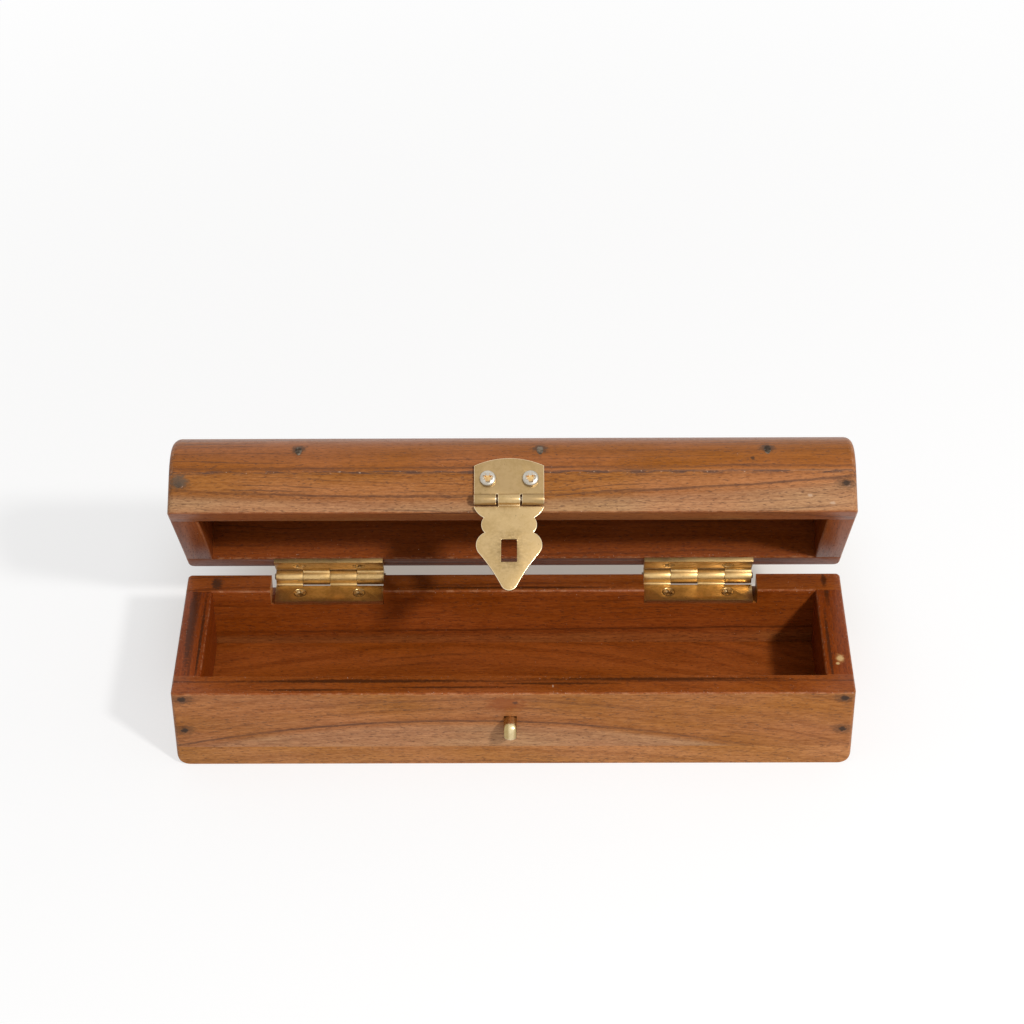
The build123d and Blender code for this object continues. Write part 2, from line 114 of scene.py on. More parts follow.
def pick_edges(piece, wanted):
    """In edit mode, select the edges whose two ends, in millimetres, pass the test."""
    bpy.ops.mesh.select_all(action="DESELECT")
    bpy.ops.object.mode_set(mode="OBJECT")
    points = piece.data.vertices
    for edge in piece.data.edges:
        ends = [points[index].co / MM for index in edge.vertices]
        edge.select = wanted(*ends)
    bpy.ops.object.mode_set(mode="EDIT")
    bpy.ops.mesh.select_mode(type="EDGE")


def finish_modifiers(piece):
    """Apply every modifier of a piece."""
    take_up(piece)
    for modifier in list(piece.modifiers):
        bpy.ops.object.modifier_apply(modifier=modifier.name)


def facing(direction):
    """The turn that points +Z in a direction."""
    return Vector(direction).to_track_quat("Z", "Y").to_matrix().to_4x4()


def settle(piece, matrix):
    """Move a piece by a matrix and put its place into its mesh."""
    piece.matrix_world = matrix @ piece.matrix_world
    take_up(piece)
    bpy.ops.object.transform_apply(location=True, rotation=True, scale=True)
    return piece


def bevelled(piece, width, segments=2, angle=30, smooth=35, edge=-1):
    """Break a piece's sharp edges and shade its curves smooth; width is in millimetres."""
    modifier = piece.modifiers.new("edges", "BEVEL")
    modifier.width = width * MM
    modifier.segments = segments
    modifier.limit_method = "ANGLE"
    modifier.angle_limit = radians(angle)
    modifier.use_clamp_overlap = True
    modifier.material = edge
    finish_modifiers(piece)
    bpy.ops.object.shade_smooth_by_angle(angle=radians(smooth))
    return piece


def cut(piece, tool, operation="DIFFERENCE"):
    """Cut a piece with a tool, which is used up."""
    modifier = piece.modifiers.new("cut", "BOOLEAN")
    modifier.operation = operation
    modifier.solver = "EXACT"
    modifier.object = tool
    finish_modifiers(piece)
    bpy.data.objects.remove(tool)
    return piece


def copy_of(piece, name):
    """A copy with a mesh of its own."""
    twin = piece.copy()
    twin.data = piece.data.copy()
    twin.name = name
    bpy.context.scene.collection.objects.link(twin)
    return twin


def joined(pieces, name):
    """Several pieces as one."""
    take_up(*pieces)
    bpy.ops.object.join()
    piece = bpy.context.object
    piece.name = name
    put_down()
    return piece


def cast(node):
    """A merged copy of a CAD piece's mesh, its flat faces made whole, ready to be worked on."""
    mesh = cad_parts[node].data.copy()
    piece = bpy.data.objects.new(node + "_finished", mesh)
    bpy.context.scene.collection.objects.link(piece)
    mesh.materials.clear()
    edit(piece)
    bpy.ops.mesh.remove_doubles(threshold=0.002 * MM)
    bpy.ops.mesh.dissolve_limited(angle_limit=radians(0.5))
    bpy.ops.mesh.customdata_custom_splitnormals_clear()
    put_down()
    return piece


def fitted(piece, node, body, slot, *materials):
    """Give a piece its material, its body and the CAD node that it stands for."""
    if materials:
        piece.data.materials.clear()
    for finish in materials:
        piece.data.materials.append(finish)
    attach(piece, body)
    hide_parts(node)
    put_down()
    return piece


def turned(name, profile, sides):
    """A solid turned about Z; the profile is (radius, height) in millimetres, from the bottom up."""
    put_down()
    radius, level = profile[0]
    bpy.ops.mesh.primitive_circle_add(vertices=sides, radius=radius * MM, fill_type="NGON",
                                      location=(0, 0, level * MM))
    piece = bpy.context.object
    piece.name = name
    bpy.ops.object.transform_apply(location=True, rotation=True, scale=True)
    edit(piece, "FACE")
    for wider, higher in profile[1:]:
        share = wider / radius
        bpy.ops.mesh.extrude_region_move(TRANSFORM_OT_translate={"value": (0, 0, (higher - level) * MM)})
        bpy.ops.transform.resize(value=(share, share, 1), center_override=(0, 0, higher * MM))
        radius, level = wider, higher
    bpy.ops.mesh.select_all(action="SELECT")
    bpy.ops.mesh.normals_make_consistent(inside=False)
    put_down()
    return piece


# --- Materials ------------------------------------------------------------------------------


def put(tree, kind, inputs=None, **settings):
    """Add a shader node; each input, by name or number, is a value or another node's socket."""
    made = tree.nodes.new("ShaderNode" + kind)
    for key, value in settings.items():
        setattr(made, key, value)
    for key, value in (inputs or {}).items():
        if isinstance(value, bpy.types.NodeSocket):
            tree.links.new(value, made.inputs[key])
        else:
            made.inputs[key].default_value = value
    return made


def calc(tree, operation, *values, clamp=False):
    """The result of one Math node."""
    return put(tree, "Math", dict(enumerate(values)), operation=operation, use_clamp=clamp).outputs[0]


def move(tree, operation, *values):
    """The result of one Vector Math node."""
    return put(tree, "VectorMath", dict(enumerate(values)), operation=operation).outputs[0]


def times(tree, first, second):
    """Two values multiplied."""
    return calc(tree, "MULTIPLY", first, second)


def centred(tree, value):
    """Noise, which lies about a half, brought about nothing."""
    return calc(tree, "SUBTRACT", value, 0.5)


def parted(tree, vector):
    """The three parts of a vector."""
    return put(tree, "SeparateXYZ", {0: vector}).outputs


def in_millimetres(tree, metres):
    """A position in millimetres."""
    scaled = put(tree, "VectorMath", {0: metres}, operation="SCALE")
    scaled.inputs["Scale"].default_value = 1000
    return scaled.outputs[0]


def apart(tree, value, level):
    """How far a value is from a level, whichever side it is on."""
    return calc(tree, "ABSOLUTE", calc(tree, "SUBTRACT", value, level))


def seen_directly(tree):
    """1 for the rays that come from the camera, or by way of metal or glass, and 0 for the rest."""
    rays = put(tree, "LightPath").outputs
    through = calc(tree, "MAXIMUM", rays["Is Glossy Ray"], rays["Is Transmission Ray"])
    return calc(tree, "MAXIMUM", rays["Is Camera Ray"], through)


def noise(tree, vector, stretch=(1, 1, 1), detail=2.0, roughness=0.5, shift=None):
    """Noise over a position in millimetres; stretch is how many waves a millimetre holds."""
    place = move(tree, "MULTIPLY", vector, stretch)
    if shift is not None:
        place = move(tree, "ADD", place, shift)
    return put(tree, "TexNoise", {"Vector": place, "Scale": 1.0, "Detail": detail,
                                  "Roughness": roughness}).outputs[0]


def fade(tree, value, start, end, low=0.0, high=1.0):
    """A smooth step from one value to another as the input goes from start to end."""
    return put(tree, "MapRange", {0: value, 1: start, 2: end, 3: low, 4: high},
               interpolation_type="SMOOTHSTEP").outputs[0]


def blend(tree, factor, first, second, kind="MIX"):
    """Two colours mixed."""
    return put(tree, "Mix", {0: factor, 6: first, 7: second}, data_type="RGBA", blend_type=kind).outputs[2]


def group(name, inputs, outputs):
    """A new node group with its sockets; returns its tree, its inputs and its output node."""
    tree = bpy.data.node_groups.new(name, "ShaderNodeTree")
    for label, kind, value in inputs:
        socket = tree.interface.new_socket(label, in_out="INPUT", socket_type="NodeSocket" + kind)
        socket.default_value = value
    for label, kind in outputs:
        tree.interface.new_socket(label, in_out="OUTPUT", socket_type="NodeSocket" + kind)
    given = tree.nodes.new("NodeGroupInput")
    result = tree.nodes.new("NodeGroupOutput")
    return tree, given.outputs, result


def use(tree, made, **inputs):
    """Place a node group; inputs are named with underscores for spaces."""
    node = tree.nodes.new("ShaderNodeGroup")
    node.node_tree = made
    for key, value in inputs.items():
        socket = node.inputs[key.replace("_", " ")]
        if isinstance(value, bpy.types.NodeSocket):
            tree.links.new(value, socket)
        else:
            socket.default_value = value
    return node.outputs


def give(tree, result, **outputs):
    """Link a group's results to its output node."""
    for key, value in outputs.items():
        tree.links.new(value, result.inputs[key.replace("_", " ")])


def plank_grain():
    """Sawn hardwood with its grain along X: bands, mineral lines, fibres and pores."""
    tree, given, result = group(
        "plank grain",
        [("Position", "Vector", (0, 0, 0)), ("Light", "Color", (0.5, 0.2, 0.07, 1)),
         ("Dark", "Color", (0.3, 0.1, 0.03, 1)), ("Line", "Color", (0.1, 0.04, 0.02, 1)),
         ("Seed", "Float", 0.0), ("Slope", "Float", 0.0), ("Bow", "Float", 0.0),
         ("Bow middle", "Float", 0.0), ("Ring gap", "Float", 6.0), ("Lines", "Float", 0.6),
         ("Line at", "Float", -99.0), ("Rim line", "Float", -99.0)],
        [("Color", "Color"), ("Roughness", "Float"), ("Height", "Float")])
    place = in_millimetres(tree, given["Position"])
    shift = put(tree, "CombineXYZ", {0: times(tree, given["Seed"], 17.3), 1: times(tree, given["Seed"], 5.9),
                                     2: times(tree, given["Seed"], 3.1)}).outputs[0]
    axes = parted(tree, place)
    # The growth rings: height in the plank, tilted, bowed and wandering
    wander = times(tree, centred(tree, noise(tree, place, (0.009, 0.04, 0.04), 2, 0.5, shift)), 9.0)
    ripple = times(tree, centred(tree, noise(tree, place, (0.06, 0.25, 0.25), 3, 0.6, shift)), 1.6)
    off = calc(tree, "SUBTRACT", axes[0], given["Bow middle"])
    bow = times(tree, times(tree, off, off), given["Bow"])
    tilt = times(tree, axes[0], given["Slope"])
    level = calc(tree, "ADD", calc(tree, "SUBTRACT", axes[2], tilt), bow)
    ring = calc(tree, "ADD", calc(tree, "ADD", level, times(tree, axes[1], 0.6)),
                calc(tree, "ADD", wander, ripple))
    count = calc(tree, "ADD", calc(tree, "DIVIDE", ring, given["Ring gap"]), times(tree, given["Seed"], 7.7))
    band = put(tree, "TexNoise", {"W": count, "Scale": 1.0, "Detail": 3.0, "Roughness": 0.6},
               noise_dimensions="1D").outputs[0]
    fine = put(tree, "TexNoise",
               {"W": calc(tree, "MULTIPLY_ADD", count, 3.4, 40.0), "Scale": 1.0, "Detail": 2.0},
               noise_dimensions="1D").outputs[0]
    fibre = noise(tree, place, (0.09, 1.5, 1.5), 4, 0.7, shift)
    hair = noise(tree, place, (0.42, 2.5, 2.5), 3, 0.75, shift)
    patch = noise(tree, place, (0.018, 0.07, 0.07), 2, 0.5, shift)
    come_and_go = fade(tree, noise(tree, place, (0.022, 0.12, 0.12), 1, 0.5, shift), 0.40, 0.60)
    # Wood between the lines
    share = calc(tree, "MULTIPLY_ADD", fade(tree, band, 0.34, 0.68), 0.38, 0.27)
    share = calc(tree, "MULTIPLY_ADD", centred(tree, fibre), 1.5, share)
    share = calc(tree, "MULTIPLY_ADD", centred(tree, hair), 2.3, share, clamp=True)
    colour = blend(tree, share, given["Light"], given["Dark"])
    tone = put(tree, "HueSaturation", {"Hue": fade(tree, patch, 0.25, 0.75, 0.4985, 0.503),
                                       "Saturation": fade(tree, patch, 0.3, 0.7, 0.96, 1.03),
                                       "Value": fade(tree, patch, 0.3, 0.7, 1.08, 0.92),
                                       "Color": colour}).outputs[0]
    # A paler, yellower strip under the line that is asked for
    below = calc(tree, "SUBTRACT", given["Line at"], level)
    strip = times(tree, fade(tree, below, 0.3, 3.5), fade(tree, below, 15.0, 9.0))
    paler = put(tree, "HueSaturation", {"Hue": 0.512, "Saturation": 0.82, "Value": 1.24,
                                        "Color": tone}).outputs[0]
    tone = blend(tree, times(tree, strip, fade(tree, patch, 0.35, 0.6, 0.45, 1.0)), tone, paler)
    # Thin mineral lines, one of them where it is asked for
    thin = times(tree, times(tree, fade(tree, fine, 0.60, 0.69), come_and_go), given["Lines"])
    away = apart(tree, calc(tree, "MULTIPLY_ADD", ripple, 0.7, level), given["Line at"])
    asked = times(tree, fade(tree, away, 0.1, 0.7, 1.0, 0.0), fade(tree, patch, 0.3, 0.66, 1.0, 0.35))
    aside = apart(tree, calc(tree, "MULTIPLY_ADD", ripple, 0.5, axes[1]), given["Rim line"])
    on_rim = times(tree, fade(tree, aside, 0.15, 0.7, 1.0, 0.0), fade(tree, patch, 0.3, 0.6, 1.0, 0.55))
    line = calc(tree, "MAXIMUM", calc(tree, "MAXIMUM", thin, asked), on_rim, clamp=True)
    broken = times(tree, line, fade(tree, hair, 0.25, 0.6, 0.55, 1.0))
    tone = blend(tree, times(tree, broken, 0.85), tone, given["Line"])
    # Open pores, as short dark dashes
    pore = fade(tree, noise(tree, place, (0.55, 3.0, 3.0), 1, 0.5, move(tree, "ADD", shift, (9.0, 3.0, 5.0))),
                0.60, 0.70)
    tone = blend(tree, times(tree, pore, 0.6), tone, given["Line"])
    rough = calc(tree, "MULTIPLY_ADD", fibre, 0.16, calc(tree, "MULTIPLY_ADD", pore, 0.16, 0.29))
    height = calc(tree, "SUBTRACT", times(tree, fibre, 0.35),
                  calc(tree, "MULTIPLY_ADD", pore, 0.8, times(tree, line, 0.2)))
    give(tree, result, Color=tone, Roughness=rough, Height=height)
    return tree


def edge_wear_and_sheen():
    """Where handling has rubbed the edges of a box-shaped board: a broken band, and pale specks; on the
    dome's ends the band also stands for a painted highlight.
    """
    tree, given, result = group(
        "edge wear and sheen",
        [("Position", "Vector", (0, 0, 0)), ("Middle", "Vector", (0, 0, 0)),
         ("Half size", "Vector", (1, 1, 1)), ("Count", "Vector", (1, 1, 1)),
         ("Hole", "Float", 0.0), ("Reach", "Float", 0.8)],
        [("Rubbed", "Float"), ("Specks", "Float")])
    place = in_millimetres(tree, given["Position"])
    past = move(tree, "SUBTRACT", move(tree, "ABSOLUTE", move(tree, "SUBTRACT", place, given["Middle"])),
                given["Half size"])
    gap = move(tree, "MULTIPLY", move(tree, "ABSOLUTE", past), given["Count"])
    signed = parted(tree, past)
    axes = parted(tree, gap)
    near = calc(tree, "MINIMUM", axes[0], axes[1])
    far = calc(tree, "MAXIMUM", axes[0], axes[1])
    outside = calc(tree, "MAXIMUM", near, calc(tree, "MINIMUM", far, axes[2]))
    round_hole = calc(tree, "MAXIMUM", calc(tree, "ABSOLUTE", calc(tree, "MAXIMUM", signed[0], signed[1])),
                      axes[2])
    second = calc(tree, "ADD", times(tree, round_hole, given["Hole"]),
                  times(tree, outside, calc(tree, "SUBTRACT", 1.0, given["Hole"])))
    patchy = noise(tree, place, (0.35, 0.5, 0.5), 5, 0.7)
    edge = fade(tree, calc(tree, "DIVIDE", second, given["Reach"]), 0.25, 1.0, 1.0, 0.0)
    rubbed = times(tree, edge, fade(tree, patchy, 0.42, 0.66))
    closeness = fade(tree, second, 0.2, 4.0, 1.0, 0.0)
    grit = noise(tree, place, (1.7, 1.7, 1.7), 2, 0.6)
    dust = fade(tree, calc(tree, "MULTIPLY_ADD", closeness, 0.07, grit), 0.735, 0.79)
    give(tree, result, Rubbed=rubbed, Specks=dust)
    return tree


def iron_stain():
    """The dark stain that a nail leaves in the wood round it, or any like mark."""
    tree, given, result = group(
        "iron stain", [("Position", "Vector", (0, 0, 0)), ("Spot", "Vector", (0, 0, 0)),
                       ("Reach", "Float", 2.5), ("Along", "Float", 0.7)],
        [("Mask", "Float")])
    place = in_millimetres(tree, given["Position"])
    away = move(tree, "SUBTRACT", place, given["Spot"])
    axes = parted(tree, away)
    squeezed = put(tree, "CombineXYZ", {0: times(tree, axes[0], given["Along"]), 1: axes[1],
                                        2: axes[2]}).outputs[0]
    distance = put(tree, "VectorMath", {0: squeezed}, operation="LENGTH").outputs["Value"]
    rough_edge = times(tree, centred(tree, noise(tree, place, (0.7, 1.3, 1.3), 4, 0.65)), given["Reach"])
    ragged = calc(tree, "MULTIPLY_ADD", rough_edge, 1.5, distance)
    give(tree, result, Mask=fade(tree, calc(tree, "DIVIDE", ragged, given["Reach"]), 0.45, 1.05, 1.0, 0.0))
    return tree


def brushed_metal():
    """Rolled sheet metal: faint brushing, cloudy tarnish, specks and hair scratches."""
    tree, given, result = group(
        "brushed metal",
        [("Position", "Vector", (0, 0, 0)), ("Bright", "Color", (0.8, 0.6, 0.3, 1)),
         ("Tarnished", "Color", (0.5, 0.35, 0.12, 1)), ("Speck", "Color", (0.1, 0.07, 0.03, 1)),
         ("Tarnish", "Float", 0.5), ("Brushing", "Float", 0.5), ("Polish", "Float", 0.3)],
        [("Color", "Color"), ("Roughness", "Float"), ("Height", "Float")])
    place = in_millimetres(tree, given["Position"])
    cloud = noise(tree, place, (0.16, 0.16, 0.16), 4, 0.6)
    mottle = noise(tree, place, (0.9, 0.9, 0.9), 4, 0.65)
    brush = noise(tree, place, (0.35, 9.0, 9.0), 3, 0.6)
    scratch = noise(tree, place, (3.2, 0.5, 0.6), 2, 0.5, (4.0, 8.0, 2.0))
    speck = fade(tree, noise(tree, place, (1.3, 1.3, 1.3), 2, 0.5, (1.0, 5.0, 9.0)), 0.70, 0.76)
    dull = times(tree, given["Tarnish"],
                 fade(tree, calc(tree, "MULTIPLY_ADD", mottle, 0.5, times(tree, cloud, 0.6)), 0.42, 0.72))
    dull = calc(tree, "MULTIPLY_ADD", times(tree, centred(tree, brush), given["Brushing"]), 0.5, dull,
                clamp=True)
    colour = blend(tree, dull, given["Bright"], given["Tarnished"])
    colour = blend(tree, times(tree, speck, times(tree, given["Tarnish"], 0.8)), colour, given["Speck"])
    line = fade(tree, scratch, 0.69, 0.74)
    rough = calc(tree, "MULTIPLY_ADD", dull, 0.18, given["Polish"])
    rough = calc(tree, "MULTIPLY_ADD", calc(tree, "ADD", speck, line), 0.12, rough, clamp=True)
    height = calc(tree, "MULTIPLY_ADD", times(tree, brush, given["Brushing"]), 0.5,
                  times(tree, calc(tree, "ADD", speck, line), -0.4))
    height = calc(tree, "MULTIPLY_ADD", mottle, 0.5, height)
    give(tree, result, Color=colour, Roughness=rough, Height=height)
    return tree


PLANK = plank_grain()
WEAR_AND_SHEEN = edge_wear_and_sheen()
STAIN = iron_stain()
METAL = brushed_metal()


def material(name):
    """An empty material: its tree, its Principled BSDF and its Object coordinates."""
    made = bpy.data.materials.new(name)
    made.use_nodes = True
    tree = made.node_tree
    place = put(tree, "TexCoord").outputs["Object"]
    return made, tree, tree.nodes["Principled BSDF"], place


def surface(tree, shader, colour, roughness, height, depth):
    """Link colour, roughness and a bump of this depth in millimetres to the shader."""
    tree.links.new(colour, shader.inputs["Base Color"])
    tree.links.new(roughness, shader.inputs["Roughness"])
    bump = put(tree, "Bump", {"Strength": 1.0, "Distance": depth * MM, "Height": height}).outputs[0]
    tree.links.new(bump, shader.inputs["Normal"])


def as_shut(tree, place):
    """Object coordinates of the resting lid, turned to where they are on the shut lid."""
    offset = SHUT.to_translation()
    return put(tree, "Mapping", {"Vector": place, "Location": offset,
                                 "Rotation": (LID_ANGLE, 0, 0)}).outputs[0]


# The lacquered hardwood, its marks and its stains, as linear values
PALE = (0.41, 0.155, 0.042, 1)
WARM = (0.235, 0.070, 0.0115, 1)
ORANGE = (0.34, 0.100, 0.018, 1)
DEEP = (0.20, 0.050, 0.009, 1)
LINE = (0.095, 0.040, 0.022, 1)
RIM_DARK = (0.050, 0.014, 0.004, 1)
STAIN_BLACK = (0.040, 0.024, 0.015, 1)
STAIN_BROWN = (0.070, 0.038, 0.020, 1)
IRON = (0.032, 0.022, 0.017, 1)
PLUG_GREY = (0.115, 0.078, 0.052, 1)
CHIP_PALE = (0.66, 0.44, 0.19, 1)
CHIP_RING = (0.40, 0.17, 0.05, 1)
SCRATCH_PALE = (0.52, 0.34, 0.22, 1)
KNOT_RED = (0.26, 0.070, 0.016, 1)
SEAM_DARK = (0.085, 0.045, 0.034, 1)
# Multiplied in on the rim and inside the box: darker lacquer, and painted shade in the well
WELL_LACQUER_AND_SHADE = (0.70, 0.30, 0.02, 1)
HANDLED_DARK = (0.20, 0.125, 0.05, 1)
# Painted shade on the open lid's rim and inner faces, and in its hollow, over a darker lacquer
LID_LACQUER_AND_SHADE = (0.55, 0.22, 0.01, 1)
LID_HOLLOW_LACQUER_AND_SHADE = (0.36, 0.22, 0.085, 1)
PALE_WEAR_AND_SHEEN = (0.55, 0.27, 0.13, 1)
SPECK_PALE = (0.62, 0.46, 0.34, 1)
BASE_PALE = (0.47, 0.195, 0.058, 1)
BASE_WARM = (0.275, 0.095, 0.020, 1)
TOP_ORANGE = (0.37, 0.118, 0.024, 1)


def wood(name, light, dark, lid=False, across=False, marks=(), nails=(), rim=None, seam=None, boxes=(),
         inner=WELL_LACQUER_AND_SHADE, deep=0.8, **grain):
    """A lacquered board. Marks are (spot, reach, length in reaches, colour); nails are spots at both
    ends; rim and seam are heights; the edges of the boxes are paled as wear, and on the dome's ends
    also as a painted highlight; inner tints the rim and the faces in the well and in the lid's hollow,
    partly as darker lacquer and partly as painted shade, and deep is how strongly."""
    made, tree, shader, place = material(name)
    if lid:
        place = as_shut(tree, place)
    axes = parted(tree, place)
    along = place
    if across:
        along = put(tree, "CombineXYZ", {0: axes[1], 1: axes[0], 2: axes[2]}).outputs[0]
    plank = use(tree, PLANK, Position=along, Light=light, Dark=dark, Line=LINE, **grain)
    colour, rough = plank["Color"], plank["Roughness"]
    # The lacquer lies thicker and darker on the rim and inside the well; the same tint also paints shade into
    # the well's faces, and into the lid's rim, inner faces and hollow
    either_end = calc(tree, "ABSOLUTE", axes[0])
    either_side = calc(tree, "ABSOLUTE", axes[1])
    inside_x = fade(tree, either_end, (WELL_HALF_LENGTH + 0.6) * MM, (WELL_HALF_LENGTH + 0.2) * MM)
    inside_y = fade(tree, either_side, (WELL_HALF_DEPTH + 0.6) * MM, (WELL_HALF_DEPTH + 0.2) * MM)
    if lid:
        hollow = fade(tree, axes[2], (LID_SEAM + 0.4) * MM, (LID_SEAM + 0.1) * MM)
    else:
        hollow = fade(tree, axes[2], (BASE_THICKNESS - 0.6) * MM, (BASE_THICKNESS - 0.2) * MM)
    inside = times(tree, times(tree, inside_x, inside_y), hollow)
    if rim is not None:
        at_rim = fade(tree, apart(tree, axes[2], rim * MM), 0.5 * MM, 0.2 * MM, 0.0, 0.85)
        inside = calc(tree, "MAXIMUM", inside, at_rim)
    colour = blend(tree, times(tree, inside, deep), colour, inner, "MULTIPLY")
    millimetres = in_millimetres(tree, place)
    if seam is not None:
        away = apart(tree, axes[2], seam * MM)
        dashes = fade(tree, noise(tree, millimetres, (0.13, 1.3, 1.3), 4, 0.7), 0.43, 0.56)
        outside = calc(tree, "MAXIMUM",
                       fade(tree, either_end, (HALF_LENGTH - 1.2) * MM, (HALF_LENGTH - 0.6) * MM),
                       fade(tree, either_side, (HALF_DEPTH - 1.2) * MM, (HALF_DEPTH - 0.6) * MM))
        dashes = times(tree, dashes, outside)
        dark_seam = times(tree, fade(tree, away, 0.2 * MM, 1.0 * MM, 1.0, 0.0), dashes)
        colour = blend(tree, times(tree, dark_seam, 0.85), colour, SEAM_DARK)
        dots = fade(tree, noise(tree, millimetres, (0.9, 1.6, 1.6), 2, 0.5, (3.0, 9.0, 4.0)), 0.66, 0.72)
        dots = times(tree, dots, outside)
        filler = times(tree, fade(tree, away, 0.2 * MM, 0.6 * MM, 1.0, 0.0), dots)
        colour = blend(tree, times(tree, filler, 0.7), colour, SCRATCH_PALE)
    if nails:
        mirrored = put(tree, "CombineXYZ", {0: either_end, 1: axes[1], 2: axes[2]}).outputs[0]
        iron = 0.0
        for spot in nails:
            halo = use(tree, STAIN, Position=mirrored, Spot=spot, Reach=2.7, Along=0.55)["Mask"]
            core = use(tree, STAIN, Position=mirrored, Spot=spot, Reach=1.3, Along=0.8)["Mask"]
            colour = blend(tree, times(tree, halo, 0.45), colour, STAIN_BLACK)
            colour = blend(tree, times(tree, core, 0.85), colour, IRON)
            iron = calc(tree, "MAXIMUM", core, iron)
        tree.links.new(times(tree, iron, 0.4), shader.inputs["Metallic"])
    for spot, reach, length, tint in marks:
        mask = use(tree, STAIN, Position=place, Spot=spot, Reach=reach, Along=1 / length)["Mask"]
        colour = blend(tree, times(tree, mask, 0.8), colour, tint)
    for middle, half, count, hole in boxes:
        worn = use(tree, WEAR_AND_SHEEN, Position=place, Middle=middle, Half_size=half, Count=count, Hole=hole)
        # Pale rubbed edges, and on the dome's ends also a painted highlight
        colour = blend(tree, times(tree, worn["Rubbed"], 0.42), colour, PALE_WEAR_AND_SHEEN)
        colour = blend(tree, times(tree, worn["Specks"], 0.5), colour, SPECK_PALE)
        rough = calc(tree, "MULTIPLY_ADD", worn["Rubbed"], 0.12, rough)
    surface(tree, shader, colour, rough, plank["Height"], 0.05)
    shader.inputs["Coat Weight"].default_value = 0.1
    shader.inputs["Coat Roughness"].default_value = 0.22
    shader.inputs["Specular IOR Level"].default_value = 0.12
    return made


def brass(name, bright, tarnished, tarnish, brushing, polish, depth=0.02, crown=None, marks=()):
    """A metal finish; crown is how far beside the hasp's middle the staple stays bright, which is partly
    wear and partly a painted highlight, with painted shade towards its sides; marks are (spot, reach,
    length in reaches, strength) of dark handling marks."""
    made, tree, shader, place = material(name)
    metal = use(tree, METAL, Position=place, Bright=bright, Tarnished=tarnished, Tarnish=tarnish,
                Brushing=brushing, Polish=polish)
    colour = metal["Color"]
    # Painted highlight along the staple's crowned middle and painted shade towards its sides, over some real
    # wear
    if crown is not None:
        along = parted(tree, place)[0]
        beside = apart(tree, along, (HASP_X + 0.45) * MM)
        colour = blend(tree, fade(tree, beside, crown * MM, 3.6 * crown * MM, 0.0, 0.8), colour, tarnished)
    for spot, reach, length, strength in marks:
        mask = use(tree, STAIN, Position=place, Spot=spot, Reach=reach, Along=1 / length)["Mask"]
        colour = blend(tree, times(tree, mask, strength), colour, HANDLED_DARK)
    surface(tree, shader, colour, metal["Roughness"], metal["Height"], depth)
    shader.inputs["Metallic"].default_value = 1.0
    return made


# Worn edges: middle, half size, which sides count, and 1 for the rim of a hole
ALL_SIDES = (1, 1, 1)
TRAY_BOX = ((0, 0, TRAY_HEIGHT / 2), (HALF_LENGTH, HALF_DEPTH, TRAY_HEIGHT / 2), ALL_SIDES, 0.0)
TRAY_WELL = ((0, 0, TRAY_HEIGHT), (WELL_HALF_LENGTH, WELL_HALF_DEPTH, 0), ALL_SIDES, 1.0)
LID_BOX = ((0, 0, LID_CROWN), (HALF_LENGTH, HALF_DEPTH, LID_CROWN - LID_RIM), ALL_SIDES, 0.0)
LID_WELL = ((0, 0, LID_RIM), (WELL_HALF_LENGTH, WELL_HALF_DEPTH, 0), ALL_SIDES, 1.0)
# Along the dome's ends: pale wear, partly a painted highlight on the rounded ends
DOME_END_SHEEN = ((0, 0, 0), (HALF_LENGTH - 1.0, 1, 500), (1, 0, 1), 0.0)
NAIL_X = HALF_LENGTH - NAIL_INSET
TRAY_NAILS = (29.4, 15.5)
LID_NAIL_Z = LID_RIM + 9.9
TOP_NAIL_X = (-71.4, 9.3, 85.2)
TOP_STAIN_Y, TOP_STAIN_Z = 28.8, 54.9
TRAY_SIDE = {"rim": TRAY_HEIGHT, "boxes": (TRAY_BOX, TRAY_WELL)}
# The lid's sides are darkened on their rim and inner faces: painted shade of the open lid
LID_SIDE = {"lid": True, "rim": LID_RIM, "seam": LID_SEAM, "boxes": (LID_BOX, LID_WELL), "inner": LID_LACQUER_AND_SHADE}


def rim_marks(*rows):
    """Marks on the tray's rim, from (x, y, reach, length in reaches, colour)."""
    return [((x, y, TRAY_HEIGHT), reach, length, tint) for x, y, reach, length, tint in rows]


tray_front_wood = wood(
    "tray_front_wood", PALE, WARM, Seed=1.0, Bow=0.0012, Bow_middle=-18.0, Ring_gap=5.0, Lines=0.35,
    Line_at=19.5, Rim_line=-25.3, nails=[(NAIL_X, -HALF_DEPTH, level) for level in TRAY_NAILS],
    marks=[((-2.5, -HALF_DEPTH, 27.0), 4.0, 2.0, KNOT_RED),
           ((0.8, -HALF_DEPTH, 27.5), 0.8, 1.5, LINE)] + rim_marks(
        (13.4, -27.9, 0.9, 0.35, SCRATCH_PALE), (-52.0, -25.2, 1.2, 38.0, RIM_DARK),
        (48.0, -24.4, 0.9, 60.0, RIM_DARK), (-70.0, -29.6, 0.7, 30.0, RIM_DARK),
        (15.0, -26.6, 0.7, 36.0, RIM_DARK), (-20.0, -28.4, 0.55, 50.0, RIM_DARK)), **TRAY_SIDE)
tray_back_wood = wood(
    "tray_back_wood", PALE, WARM, Seed=2.0, Slope=0.01, Ring_gap=4.5, Lines=0.6, Line_at=14.0,
    nails=[(NAIL_X, HALF_DEPTH, level) for level in TRAY_NAILS], marks=rim_marks(
        (-104.0, 26.5, 3.9, 0.6, STAIN_BLACK), (108.6, 27.6, 4.2, 0.3, RIM_DARK),
        (0.0, 24.0, 0.8, 55.0, RIM_DARK)), **TRAY_SIDE)
